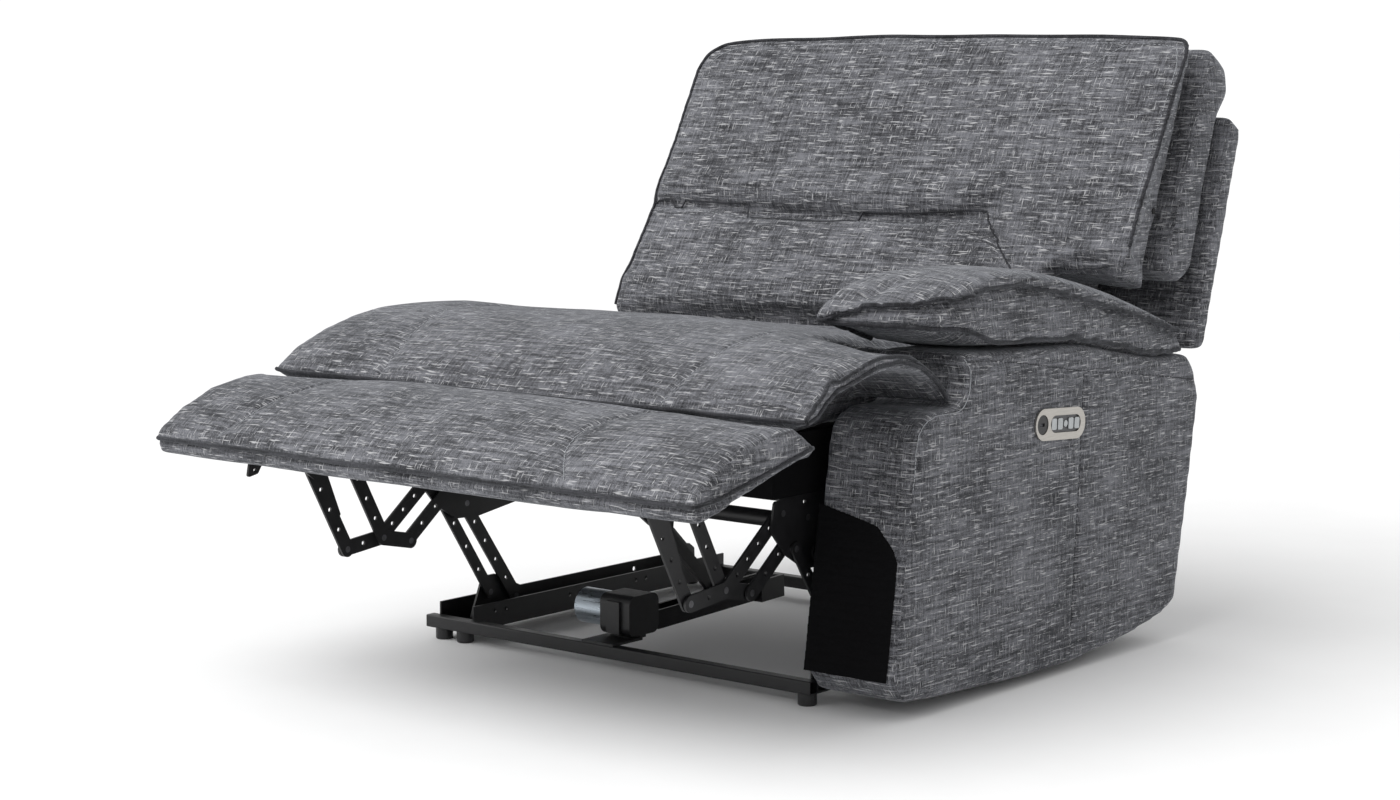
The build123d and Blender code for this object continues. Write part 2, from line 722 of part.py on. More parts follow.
PAIRS = {
    "base_pivot_plates": base_pivot_plate,
    "lift_links": lift_link,
    "control_links": control_link,
    "rear_links": rear_link,
    "main_links": main_link,
    "drive_links": drive_link,
    "cross_links": cross_link,
    "front_links": front_link,
    "footrest_brackets": footrest_bracket,
    "back_brackets": back_bracket,
}
INSIDE_BOX = (BOX_FRONT + BOARD, BOX_REAR - BOARD, BOX_LOW, BOX_HIGH)
SINGLES = {
    "front_rail": front_rail,
    "rear_rail": rear_rail,
    "left_base_rail": left_base_rail,
    "right_base_rail": right_base_rail,
    "base_rivets": base_rivets,
    "floor_glides": floor_glides,
    "actuator_bracket": actuator_bracket,
    "actuator_gearbox": actuator_gearbox,
    "actuator_motor": actuator_motor,
    "actuator_track": actuator_track,
    "lead_screw": lead_screw,
    "track_end_bracket": track_end_bracket,
    "actuator_carriage": actuator_carriage,
    "push_link": push_link,
    "seat_rivets": seat_rivets,
    "front_cross_tube": front_cross_tube,
    "rear_cross_tube": lambda: cross_tube(REAR_TUBE),
    "seat_springs": seat_springs,
    "seat_front_board": lambda: board(BOX_LEFT, BODY_RIGHT, BOX_FRONT, BOX_FRONT + BOARD, BOX_LOW, BOX_HIGH),
    "seat_rear_board": lambda: board(BOX_LEFT, BODY_RIGHT, BOX_REAR - BOARD, BOX_REAR, BOX_LOW, BOX_HIGH),
    "seat_left_board": lambda: board(BOX_LEFT, BOX_LEFT + BOARD, *INSIDE_BOX),
    "seat_right_board": lambda: board(BODY_RIGHT - BOARD, BODY_RIGHT, *INSIDE_BOX),
    "cross_rivets": cross_rivets,
    "front_rivets": front_rivets,
    "bracket_rivets": bracket_rivets,
    "footrest_board": footrest_board,
    "footrest_pad": footrest_pad,
    "front_stop": front_stop,
    "seat_cushion": lambda: seat_cushion() + seat_wing(),
    "arm_cover": arm_cover,
    "arm_boards": arm_boards,
    "arm_pad": arm_pad,
    "arm_front_cloth": arm_front_cloth,
    "panel_bezel": bezel,
    "button_well": button_well,
    "power_port": power_port,
    "back_outer": back_outer,
    "back_lower": back_lower,
    "headrest_hinge": headrest_hinge,
    "back_gusset": back_gusset,
    "lumbar_cushion": lumbar_cushion,
    "headrest_cushion": headrest_cushion,
    "headrest_gusset": headrest_gusset,
}


def main():
    os.makedirs("parts", exist_ok=True)
    for name, make in PAIRS.items():
        export(name, Compound(both_sides(make)))
    for name, make in SINGLES.items():
        export(name, make())
    export("side_plate_left", side_plate("left") + side_plate_flange("left"))
    export("side_plate_right", side_plate("right") + side_plate_flange("right") + arm_mounts())
    for name in BUTTONS:
        export(f"button_{name}", button(name))


main()
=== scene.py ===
import json
import math
import bpy
import bmesh
import numpy as np
from mathutils import Euler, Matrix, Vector, noise
from mathutils.bvhtree import BVHTree

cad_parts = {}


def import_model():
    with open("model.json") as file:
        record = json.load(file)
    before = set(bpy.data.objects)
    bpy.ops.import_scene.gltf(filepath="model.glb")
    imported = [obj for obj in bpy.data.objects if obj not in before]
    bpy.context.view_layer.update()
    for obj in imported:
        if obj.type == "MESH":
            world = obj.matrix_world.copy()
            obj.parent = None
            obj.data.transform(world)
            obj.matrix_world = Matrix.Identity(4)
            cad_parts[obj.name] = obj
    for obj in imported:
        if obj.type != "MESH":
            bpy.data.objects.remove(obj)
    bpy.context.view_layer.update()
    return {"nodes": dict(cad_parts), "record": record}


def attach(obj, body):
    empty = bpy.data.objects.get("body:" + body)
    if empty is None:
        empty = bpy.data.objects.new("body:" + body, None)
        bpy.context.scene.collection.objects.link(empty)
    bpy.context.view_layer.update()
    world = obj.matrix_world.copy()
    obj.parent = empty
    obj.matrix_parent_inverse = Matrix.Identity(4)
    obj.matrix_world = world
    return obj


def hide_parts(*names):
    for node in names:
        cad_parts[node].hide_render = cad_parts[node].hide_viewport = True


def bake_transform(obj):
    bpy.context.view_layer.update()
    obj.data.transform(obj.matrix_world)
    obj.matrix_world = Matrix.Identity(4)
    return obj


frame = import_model()
for startup in ("Cube", "Light", "Camera"):
    if startup in bpy.data.objects:
        bpy.data.objects.remove(bpy.data.objects[startup])

# The CAD drawing's y starts at the front rail, and the row frame's at mid-depth. Metres.
MID_DEPTH = 0.254
VOXEL = 0.009
ARM_PAD_VOXEL = 0.007
FOOTREST_VOXEL = 0.006
ARM_PANEL_VOXEL = 0.008
THIN_CLOTH_VOXEL = 0.0019
SIM_FRAMES = 20
PRESSURE = 4.0
PIPING_R = 0.0032
ARM_PIPING_R = 0.0038
SHADOW_WELT_R = 0.0018
STITCH_PITCH = 0.0085
STITCH_LENGTH = 0.0046
STITCH_R = 0.0007
SEAM_DEPTH = 0.0035
PANEL_SEAM_DEPTH = 0.003
SEAM_WIDTH = 0.005
CUSHION_RIPPLE = 0.0025
CUSHION_WAVES = 7

# Where the cushions' two sides and the arm's outer face are across the drawing, in millimetres
OPEN_SIDE = -533
ARM_EDGE = 525
ARM_SIDE = 532


def place(x, y, z):
    """A point given as on the drawing, in millimetres, as a vector in the row frame."""
    return Vector((x / 1000, y / 1000 - MID_DEPTH, z / 1000))


# ---------------------------------------------------------------- mesh helpers

def link(mesh, name):
    obj = bpy.data.objects.new(name, mesh)
    bpy.context.scene.collection.objects.link(obj)
    return obj


def coords(mesh):
    co = np.empty(len(mesh.vertices) * 3)
    mesh.vertices.foreach_get("co", co)
    return co.reshape(-1, 3)


def set_coords(mesh, co):
    mesh.vertices.foreach_set("co", np.ascontiguousarray(co).ravel())
    mesh.update()


def normals(mesh):
    found = np.empty(len(mesh.vertices) * 3)
    mesh.vertex_normals.foreach_get("vector", found)
    return found.reshape(-1, 3)


def from_nodes(name, nodes, hulls=()):
    """One mesh holding copies of CAD nodes, plus the hulls of given point lists."""
    mesh = bmesh.new()
    for node in nodes:
        mesh.from_mesh(frame["nodes"][node].data)
    for points in hulls:
        verts = [mesh.verts.new(p) for p in points]
        bmesh.ops.convex_hull(mesh, input=verts)
    data = bpy.data.meshes.new(name)
    mesh.to_mesh(data)
    mesh.free()
    return link(data, name)


def apply_modifiers(obj):
    graph = bpy.context.evaluated_depsgraph_get()
    mesh = bpy.data.meshes.new_from_object(obj.evaluated_get(graph))
    obj.modifiers.clear()
    obj.data = mesh
    return obj


def remesh(obj, voxel=VOXEL):
    modifier = obj.modifiers.new("remesh", "REMESH")
    modifier.mode = "VOXEL"
    modifier.voxel_size = voxel
    return apply_modifiers(obj)


def subdivide(obj):
    obj.modifiers.new("smooth", "SUBSURF").levels = 1
    return apply_modifiers(obj)


def relax(obj, times, weight=0.5):
    """Evens the surface out, which rounds its edges."""
    mesh = obj.data
    edges = np.empty(len(mesh.edges) * 2, dtype=np.int64)
    mesh.edges.foreach_get("vertices", edges)
    first, second = edges[::2], edges[1::2]
    co = coords(mesh)
    count = np.bincount(edges, minlength=len(co))[:, None]
    for _ in range(times):
        total = np.zeros_like(co)
        for axis in range(3):
            total[:, axis] = np.bincount(first, co[second, axis], len(co))
            total[:, axis] += np.bincount(second, co[first, axis], len(co))
        co += weight * (total / count - co)
    set_coords(mesh, co)
    return obj


def shrink(obj, amount):
    set_coords(obj.data, coords(obj.data) - amount * normals(obj.data))


def distance_to(co, path):
    """Distance of each point to a polyline."""
    best = np.full(len(co), 1e9)
    for a, b in zip(path, path[1:]):
        a, b = np.array(a), np.array(b)
        run = b - a
        t = np.clip((co - a) @ run / max(run @ run, 1e-12), 0, 1)
        best = np.minimum(best, np.linalg.norm(co - (a + t[:, None] * run), axis=1))
    return best


def groove(obj, path, depth, width):
    """Pulls the surface in along a seam."""
    co = coords(obj.data)
    pull = depth * np.exp(-((distance_to(co, path) / width) ** 2))
    set_coords(obj.data, co - pull[:, None] * normals(obj.data))


def ripple(obj, height, scale, seed):
    """Slow unevenness, as cloth over foam has."""
    co = coords(obj.data)
    start = Vector((seed, seed * 0.37, 0))
    moved = np.array([noise.noise(Vector(p) * scale + start) for p in co])
    set_coords(obj.data, co + height * moved[:, None] * normals(obj.data))


def resample(path, step):
    points = [Vector(p) for p in path]
    result = [points[0]]
    for a, b in zip(points, points[1:]):
        count = max(1, round((b - a).length / step))
        result += [a.lerp(b, i / count) for i in range(1, count + 1)]
    return result


def curve_through(points, steps=12):
    """A smooth Catmull-Rom line through given points."""
    points = [Vector(p) for p in points]
    padded = [2 * points[0] - points[1]] + points + [2 * points[-1] - points[-2]]
    line = []
    for p0, p1, p2, p3 in zip(padded, padded[1:], padded[2:], padded[3:]):
        for i in range(steps):
            t = i / steps
            line.append(0.5 * (2 * p1 + (p2 - p0) * t + (2 * p0 - 5 * p1 + 4 * p2 - p3) * t * t
                               + (3 * p1 - p0 - 3 * p2 + p3) * t ** 3))
    line.append(points[-1])
    return line


def surface_of(obj):
    mesh = bmesh.new()
    mesh.from_mesh(obj.data)
    tree = BVHTree.FromBMesh(mesh)
    mesh.free()
    return tree


def snapped(path, tree, lift=0.0):
    """The path laid on a surface, with the surface's normals."""
    spots = []
    for p in path:
        spot, normal, _, _ = tree.find_nearest(p)
        spots.append((spot + normal * lift, normal))
    return spots


def tube(mesh, points, radius, sides=8):
    """Adds a round tube along the points to a bmesh."""
    rings = []
    last = len(points) - 1
    up = Vector((0.31, 0.17, 0.93))
    for i, p in enumerate(points):
        run = (points[min(i + 1, last)] - points[max(i - 1, 0)]).normalized()
        side = run.cross(up).normalized()
        over = run.cross(side)
        ring = []
        for k in range(sides):
            angle = 2 * math.pi * k / sides
            ring.append(mesh.verts.new(p + radius * (math.cos(angle) * side + math.sin(angle) * over)))
        rings.append(ring)
    for near, far in zip(rings, rings[1:]):
        for k in range(sides):
            m = (k + 1) % sides
            mesh.faces.new((near[k], near[m], far[m], far[k]))
    mesh.faces.new(reversed(rings[0]))
    mesh.faces.new(rings[-1])


def smooth_faces(data):
    for face in data.polygons:
        face.use_smooth = True


def finish_mesh(mesh, name, material):
    bmesh.ops.recalc_face_normals(mesh, faces=mesh.faces)
    data = bpy.data.meshes.new(name)
    mesh.to_mesh(data)
    mesh.free()
    smooth_faces(data)
    data.materials.append(material)
    return link(data, name)


def piping(name, paths, base, material, radius=PIPING_R, lift=0.0012):
    """Piped cord sewn along seams of a cushion."""
    tree = surface_of(base)
    mesh = bmesh.new()
    for path in paths:
        spots = snapped(resample(path, 0.007), tree, lift)
        tube(mesh, [spot for spot, _ in spots], radius)
    return finish_mesh(mesh, name, material)


def stitching(name, paths, base, material):
    """Separate thread stitches laid along paths on a cushion's surface."""
    tree = surface_of(base)
    mesh = bmesh.new()
    for path in paths:
        line = resample(path, STITCH_PITCH)
        for a, b in zip(line, line[1:]):
            middle = (a + b) / 2
            run = (b - a).normalized() * STITCH_LENGTH / 2
            spots = snapped([middle - run, middle, middle + run], tree, STITCH_R * 0.5)
            tube(mesh, [spot for spot, _ in spots], STITCH_R, sides=5)
    return finish_mesh(mesh, name, material)


# ---------------------------------------------------------------- materials

def nodes_for(name):
    material = bpy.data.materials.new(name)
    material.use_nodes = True
    tree = material.node_tree
    return material, tree, tree.nodes["Principled BSDF"]


def add(tree, kind, **inputs):
    node = tree.nodes.new(kind)
    for key, value in inputs.items():
        node.inputs[key.replace("_", " ")].default_value = value
    return node


def math_node(tree, operation, a, b=None):
    node = tree.nodes.new("ShaderNodeMath")
    node.operation = operation
    for socket, value in zip(node.inputs, (a, b)):
        if value is None:
            continue
        if isinstance(value, (int, float)):
            socket.default_value = value
        else:
            tree.links.new(value, socket)
    return node.outputs[0]


def ramp(tree, value, stops):
    node = tree.nodes.new("ShaderNodeValToRGB")
    elements = node.color_ramp.elements
    while len(elements) < len(stops):
        elements.new(0.5)
    for element, (position, colour) in zip(elements, stops):
        element.position = position
        element.color = (*colour, 1)
    tree.links.new(value, node.inputs[0])
    return node.outputs[0]


def mix_colour(tree, factor, base, colour):
    """The base colour socket, mixed towards a fixed colour."""
    node = tree.nodes.new("ShaderNodeMix")
    node.data_type = "RGBA"
    factor_in, base_in, colour_in = (node.inputs[i] for i in (0, 6, 7))
    tree.links.new(factor, factor_in)
    tree.links.new(base, base_in)
    colour_in.default_value = (*colour, 1)
    return node.outputs[2]


def noise_at(tree, vector, scale, detail=2.0, roughness=0.5):
    node = add(tree, "ShaderNodeTexNoise", Scale=scale, Detail=detail, Roughness=roughness)
    tree.links.new(vector, node.inputs["Vector"])
    return node.outputs["Fac"]


def cloth_plane(tree):
    """Coordinates (u, v) in the cloth's own plane, from the object's shape and not from a UV map."""
    source = tree.nodes.new("ShaderNodeTexCoord")
    where = tree.nodes.new("ShaderNodeSeparateXYZ")
    facing = tree.nodes.new("ShaderNodeSeparateXYZ")
    tree.links.new(source.outputs["Object"], where.inputs[0])
    tree.links.new(source.outputs["Normal"], facing.inputs[0])
    x, y, z = where.outputs
    nx, ny, nz = (math_node(tree, "ABSOLUTE", out) for out in facing.outputs)
    side = math_node(tree, "GREATER_THAN", nx, math_node(tree, "MAXIMUM", ny, nz))
    top = math_node(tree, "GREATER_THAN", nz, math_node(tree, "MAXIMUM", nx, ny))

    def choose(flag, if_true, if_false):
        gap = math_node(tree, "SUBTRACT", if_true, if_false)
        return math_node(tree, "ADD", if_false, math_node(tree, "MULTIPLY", flag, gap))

    u = choose(side, y, x)
    v = choose(top, y, z)
    return source.outputs["Object"], u, v, side


def stretched(tree, u, v, w, across, along):
    node = tree.nodes.new("ShaderNodeCombineXYZ")
    tree.links.new(math_node(tree, "MULTIPLY", u, across), node.inputs[0])
    tree.links.new(math_node(tree, "MULTIPLY", v, along), node.inputs[1])
    tree.links.new(math_node(tree, "MULTIPLY", w, 7.0), node.inputs[2])
    return node.outputs[0]


# How many noise waves a metre holds across and up the cloth, for the short and the long threads each way,
# the grain and the slow clouding
WEFT = (34, 380)
WARP = (460, 52)
LONG_WEFT = (12, 170)
LONG_WARP = (240, 20)
GRAIN = 750
CLOUD = 9

SURFACE_BUMP = 0.0004
FABRIC_BUMP = 0.0012


def weighted_sum(tree, *terms):
    """The sum of (value, weight) pairs."""
    parts = [math_node(tree, "MULTIPLY", value, weight) for value, weight in terms]
    total = parts[0]
    for part in parts[1:]:
        total = math_node(tree, "ADD", total, part)
    return total


def linen(name, dark, mid, light, fleck=1.0):
    """Heathered linen-look upholstery: dark ground, pale slubs both ways and a fine open weave."""
    material, tree, shader = nodes_for(name)
    whole, u, v, side = cloth_plane(tree)

    def threads_at(scales, detail, roughness):
        return noise_at(tree, stretched(tree, u, v, side, *scales), 1.0, detail, roughness)

    weft = threads_at(WEFT, 2.0, 0.6)
    warp = threads_at(WARP, 2.0, 0.6)
    long_weft = threads_at(LONG_WEFT, 4.0, 0.7)
    long_warp = threads_at(LONG_WARP, 4.0, 0.7)
    grain = noise_at(tree, whole, GRAIN, 2.0, 0.7)
    cloud = noise_at(tree, whole, CLOUD, 3.0, 0.55)
    uneven, speckle = (math_node(tree, "SUBTRACT", value, 0.5) for value in (cloud, grain))
    ground = weighted_sum(tree, (long_weft, 0.62), (long_warp, 0.38), (uneven, 0.22), (speckle, 0.45))
    base = ramp(tree, ground, [(0.40, dark), (0.495, mid), (0.60, tuple(c * 2.1 for c in mid))])
    slubs = math_node(tree, "MAXIMUM", weft, math_node(tree, "SUBTRACT", warp, 0.03))
    pale = ramp(tree, slubs, [(0.585, (0, 0, 0)), (0.665, (1, 1, 1))])
    strength = math_node(tree, "MULTIPLY", pale, 0.72 * fleck)
    tree.links.new(mix_colour(tree, strength, base, light), shader.inputs["Base Color"])
    height = weighted_sum(tree, (weft, 0.6), (warp, 0.6), (grain, 0.4))
    bump = add(tree, "ShaderNodeBump", Strength=0.55, Distance=FABRIC_BUMP)
    tree.links.new(height, bump.inputs["Height"])
    tree.links.new(bump.outputs[0], shader.inputs["Normal"])
    tree.links.new(math_node(tree, "ADD", 0.82, math_node(tree, "MULTIPLY", grain, 0.16)),
                   shader.inputs["Roughness"])
    shader.inputs["Sheen Weight"].default_value = 0.18
    shader.inputs["Sheen Roughness"].default_value = 0.5
    shader.inputs["Sheen Tint"].default_value = (0.75, 0.80, 0.86, 1)
    shader.inputs["Specular IOR Level"].default_value = 0.25
    return material


def surface(name, colour, roughness, metallic=0.0, spread=0.25, scale=60, bump=0.15, stretch=(1, 1, 1),
            specular=0.5):
    """A hard material with uneven tone, roughness and fine surface texture."""
    material, tree, shader = nodes_for(name)
    source = tree.nodes.new("ShaderNodeTexCoord")
    mapping = tree.nodes.new("ShaderNodeMapping")
    mapping.inputs["Scale"].default_value = stretch
    tree.links.new(source.outputs["Object"], mapping.inputs["Vector"])
    broad = noise_at(tree, mapping.outputs[0], scale, 4.0, 0.6)
    fine = noise_at(tree, mapping.outputs[0], scale * 22, 2.0, 0.6)
    low = tuple(c * (1 - spread) for c in colour)
    high = tuple(min(1, c * (1 + spread)) for c in colour)
    tree.links.new(ramp(tree, broad, [(0.35, low), (0.65, high)]), shader.inputs["Base Color"])
    tree.links.new(math_node(tree, "ADD", roughness - 0.08, math_node(tree, "MULTIPLY", broad, 0.18)),
                   shader.inputs["Roughness"])
    shader.inputs["Metallic"].default_value = metallic
    shader.inputs["Specular IOR Level"].default_value = specular
    node = add(tree, "ShaderNodeBump", Strength=bump, Distance=SURFACE_BUMP)
    tree.links.new(fine, node.inputs["Height"])
    tree.links.new(node.outputs[0], shader.inputs["Normal"])
    return material


FABRIC = linen("linen_charcoal", (0.019, 0.019, 0.022), (0.080, 0.081, 0.089), (0.52, 0.52, 0.53))
# Cloth for the piping cords and the lumbar welt, darker than the cover cloth: painted shade along the piped
# seams.
SHADED_PIPE_CLOTH = linen("linen_piping_painted_shade", (0.007, 0.007, 0.008), (0.020, 0.020, 0.023), (0.12, 0.12, 0.13), 0.6)
DUST_CLOTH = surface("dust_cloth", (0.0035, 0.0035, 0.004), 0.95, scale=220, bump=0.5, specular=0.1)
THREAD = surface("thread", (0.30, 0.31, 0.33), 0.8, scale=400)
DARK_THREAD = surface("dark_thread", (0.035, 0.037, 0.042), 0.8, scale=400)
STEEL = surface("powder_coat", (0.008, 0.008, 0.009), 0.42, scale=45, bump=0.35)
RIVETS = surface("zinc_steel", (0.16, 0.16, 0.17), 0.38, 0.9, scale=90)
MOTOR = surface("motor_can", (0.42, 0.47, 0.52), 0.28, 1.0, 0.12, 30, stretch=(1, 12, 12))
PLASTIC = surface("black_plastic", (0.012, 0.012, 0.013), 0.40, scale=80, bump=0.3)
TRACK = surface("black_anodised", (0.020, 0.020, 0.022), 0.35, 0.7, scale=50, stretch=(30, 1, 30))
WOOD = surface("plywood", (0.42, 0.29, 0.16), 0.7, scale=18, bump=0.3, stretch=(1, 8, 8))
NICKEL = surface("satin_nickel", (0.46, 0.44, 0.41), 0.34, 1.0, 0.08, 40, stretch=(1, 1, 20))
BUTTON = surface("button_plastic", (0.42, 0.44, 0.45), 0.35, 0.2, 0.08, 60)
WELL = surface("well_plastic", (0.06, 0.06, 0.065), 0.4, scale=70)
SPRING = surface("spring_steel", (0.35, 0.36, 0.37), 0.3, 1.0, scale=70)

NODE_MATERIALS = {
    "black_steel": STEEL, "rivet_steel": RIVETS, "motor_steel": MOTOR, "track_aluminium": TRACK,
    "black_plastic": PLASTIC, "plywood": WOOD, "satin_nickel": NICKEL, "button_plastic": BUTTON,
    "cover_fabric": FABRIC, "black_cloth": DUST_CLOTH,
}
# Nodes that look different from the rest of their material's
DRESSED = {
    "seat_left_board": FABRIC, "seat_right_board": DUST_CLOTH, "seat_front_board": DUST_CLOTH,
    "seat_rear_board": DUST_CLOTH, "button_well": WELL, "seat_springs": SPRING,
}


def dress_nodes():
    slots = {s["node"]: s["material_slot"] for s in frame["record"]["subparts"]}
    for node, obj in frame["nodes"].items():
        obj.data.materials.clear()
        obj.data.materials.append(DRESSED.get(node, NODE_MATERIALS[slots[node]]))


# ---------------------------------------------------------------- cushions

def start_cushion(name, nodes, hulls=(), voxel=VOXEL, rounding=4, inset=0.004):
    obj = from_nodes(name, nodes, hulls)
    remesh(obj, voxel)
    relax(obj, rounding)
    shrink(obj, inset)
    return obj


def add_cloth(obj, seams, reach=VOXEL * 0.8):
    """Sets a cushion up to be blown out like foam under cloth, held along its seams."""
    group = obj.vertex_groups.new(name="pin")
    co = coords(obj.data)
    held = np.zeros(len(co), bool)
    for line in seams:
        held |= distance_to(co, line) < reach
    group.add([int(i) for i in np.nonzero(held)[0]], 1.0, "REPLACE")
    cloth = obj.modifiers.new("cloth", "CLOTH")
    cloth.settings.quality = 4
    cloth.settings.mass = 0.3
    cloth.settings.use_pressure = True
    cloth.settings.uniform_pressure_force = PRESSURE
    cloth.settings.effector_weights.gravity = 0
    cloth.settings.vertex_group_mass = "pin"
    cloth.settings.tension_stiffness = 12
    cloth.settings.compression_stiffness = 12
    cloth.settings.shear_stiffness = 4
    cloth.settings.bending_stiffness = 0.4
    cloth.point_cache.frame_end = SIM_FRAMES


def settle(caps):
    """Runs every cushion's cloth together, then keeps each point within its cap of where it began."""
    before = {obj.name: coords(obj.data) for obj in caps}
    for step in range(1, SIM_FRAMES + 1):
        bpy.context.scene.frame_set(step)
    for obj, cap in caps.items():
        apply_modifiers(obj)
        start = before[obj.name]
        move = coords(obj.data) - start
        length = np.linalg.norm(move, axis=1)
        scale = np.minimum(1, cap / np.maximum(length, 1e-9))
        set_coords(obj.data, start + move * scale[:, None])
        obj.vertex_groups.clear()
    bpy.context.scene.frame_set(1)


def cover(obj, material):
    relax(obj, 1)
    subdivide(obj)
    obj.data.materials.clear()
    obj.data.materials.append(material)
    smooth_faces(obj.data)


def along(x, points):
    return [place(x, y, z) for y, z in points]


def across(y, z, x_low, x_high, count=24):
    return [place(x_low + (x_high - x_low) * i / count, y, z) for i in range(count + 1)]


def seam(*points):
    """A smooth line through drawing points."""
    return curve_through([place(*point) for point in points])


def round_front(side):
    """A line along one side of the footrest, across its front and back along the other side."""
    return along(OPEN_SIDE, side) + across(*side[-1], OPEN_SIDE, ARM_EDGE) + along(ARM_EDGE, side[::-1])


BACK_LEAN = Vector((0, 0.125, 0.222)).normalized()


def round_top(obj, left, right):
    """Rounds the two upper corners of a back cushion, seen from the front."""
    co = coords(obj.data)
    lean = np.array(BACK_LEAN)
    up = co @ lean
    highest = up.max()
    for edge, sign, radius in ((co[:, 0].min(), 1, left), (co[:, 0].max(), -1, right)):
        centre = edge + sign * radius
        top = highest - radius
        dx = co[:, 0] - centre
        dw = up - top
        outside = (dx * sign < 0) & (dw > 0)
        reach = np.hypot(dx, dw)
        scale = np.where(outside & (reach > radius), radius / np.maximum(reach, 1e-9), 1)
        co[:, 0] = centre + dx * scale
        co += (dw * (scale - 1))[:, None] * lean
    set_coords(obj.data, co)


def crown_top(obj, height):
    """Raises the top edge of a back cushion in the middle."""
    co = coords(obj.data)
    low, high = co.min(axis=0), co.max(axis=0)
    share_x = (co[:, 0] - low[0]) / (high[0] - low[0])
    share_z = np.clip((co[:, 2] - high[2] + 0.2) / 0.2, 0, 1)
    co[:, 2] += height * 4 * share_x * (1 - share_x) * share_z
    set_coords(obj.data, co)


# Profiles and seams, as lines of drawing points (y, z)
WING_TOP = [
    (-216, 450), (-177, 483), (-112, 515), (-57, 532), (-2, 538), (44, 530), (100, 500), (138, 462),
]
WING_UNDER = [
    (-212, 439), (-177, 448), (-121, 480), (-53, 504), (7, 509), (66, 497), (108, 471), (134, 444),
]
SEAT_SEAMS = [
    seam(
        (-292, -212, 455), (-322, -112, 515), (-352, -3, 541),
        (-366, 60, 541), (-372, 158, 528), (-372, 400, 501),
    ),
    seam(
        (264, -212, 455), (276, -112, 515), (288, -3, 541),
        (292, 66, 541), (292, 158, 528), (292, 400, 501),
    ),
]
FOOT_SEAMS = [
    seam((-392, -440, 372), (-372, -401, 408), (-356, -345, 433), (-344, -240, 446)),
    seam((296, -440, 372), (258, -401, 408), (244, -345, 433), (262, -240, 446)),
]
SEAT_EDGES = [
    across(-216, 446, OPEN_SIDE, ARM_EDGE), along(ARM_EDGE, WING_TOP), along(ARM_EDGE, WING_UNDER),
]
BAND_SIDE = [(-200, 413), (-300, 389), (-400, 367), (-449, 362)]
FOOT_SIDE = [(-200, 394), (-300, 371), (-400, 347), (-444, 337)]
BAND_SEAM = round_front(BAND_SIDE)
BAND_FOOT = round_front(FOOT_SIDE)
LUMBAR_SEAM = seam((-520, 678, 680), (-420, 676, 679), (-200, 672, 671), (80, 672, 671), (205, 678, 681))
LUMBAR_DROP = seam((205, 678, 681), (240, 660, 648), (290, 634, 596), (330, 622, 570), (350, 605, 545))
BACK_CURVE = seam((377, 835, 958), (330, 815, 926), (290, 797, 893), (264, 776, 856), (252, 752, 812))
BACK_FRAME = seam(
    (-518, 578, 500), (-518, 676, 676), (-518, 785, 870), (-510, 818, 925), (-484, 838, 954),
    (-440, 847, 968), (-300, 850, 971), (0, 850, 971), (300, 850, 971), (465, 847, 966),
    (494, 832, 945), (499, 800, 897), (499, 740, 790), (499, 680, 684), (496, 662, 640),
)
BACK_TOPSTITCH = seam(
    (-486, 818, 925), (-466, 832, 944), (-420, 840, 957), (-300, 841, 959), (0, 841, 959), (300, 841, 959),
    (450, 838, 955), (480, 822, 935), (484, 790, 880), (484, 730, 773), (484, 690, 700),
)
SHOULDER = curve_through(along(ARM_SIDE, [
    (22, 330), (30, 395), (45, 418), (74, 431), (134, 432), (156, 448), (163, 480), (150, 503),
]))
ARM_TOP_SEAM = curve_through(along(ARM_SIDE, [
    (150, 503), (300, 486), (466, 461), (600, 446), (725, 430), (800, 420),
]))
ARM_MIDDLE_SEAM = along(ARM_SIDE, [(471, 458), (460, 260), (445, 60)])


def lowered(line, drop):
    return [p - Vector((0, 0, drop)) for p in line]


PAD_IN, PAD_OUT = 349, ARM_SIDE
PAD_FRONT = 38
PAD_SWEEP = 110
PAD_SWEPT_DEPTH = 300


def sweep_back(x, y):
    """How far a point of the arm pad is moved back, so that its front curves round to the outer side."""
    share = min(1, max(0, (x - PAD_IN) / (PAD_OUT - PAD_IN)))
    fade = min(1, max(0, 1 - (y - PAD_FRONT) / PAD_SWEPT_DEPTH))
    return PAD_SWEEP * (1 - math.sqrt(1 - share ** 2)) * fade


def arm_loop(outer, front):
    """A piping line round the arm pad: back to front inside, round the front, and back along the outside."""
    tip_y = outer[0][0]
    inner = [(PAD_IN, y, min(z, front[0])) for y, z in reversed(outer[:3])]
    step = (PAD_OUT - PAD_IN) / len(front)
    bow = [(PAD_IN + i * step, tip_y, z) for i, z in enumerate(front) if i]
    outside = [(PAD_OUT, y, z) for y, z in outer]
    return [place(x, y + sweep_back(x, y), z) for x, y, z in inner + bow + outside]


# Two piped lines: (y, z) along the outer side, and z at even steps across the front from the inner corner
PAD_UPPER_SIDE = [
    (41, 592), (74, 598), (130, 603), (228, 604), (310, 598), (391, 586), (480, 568), (596, 543), (690, 520),
    (757, 500),
]
PAD_LOWER_SIDE = [
    (39, 532), (112, 528), (170, 521), (250, 519), (330, 519), (393, 514), (480, 502), (580, 487), (680, 470),
    (760, 464),
]
PAD_UPPER_FRONT = (556, 570, 579, 585, 589)
PAD_LOWER_FRONT = (552, 550, 547, 542, 536)
PAD_UPPER = curve_through(arm_loop(PAD_UPPER_SIDE, PAD_UPPER_FRONT), 6)
PAD_LOWER = curve_through(arm_loop(PAD_LOWER_SIDE, PAD_LOWER_FRONT), 6)


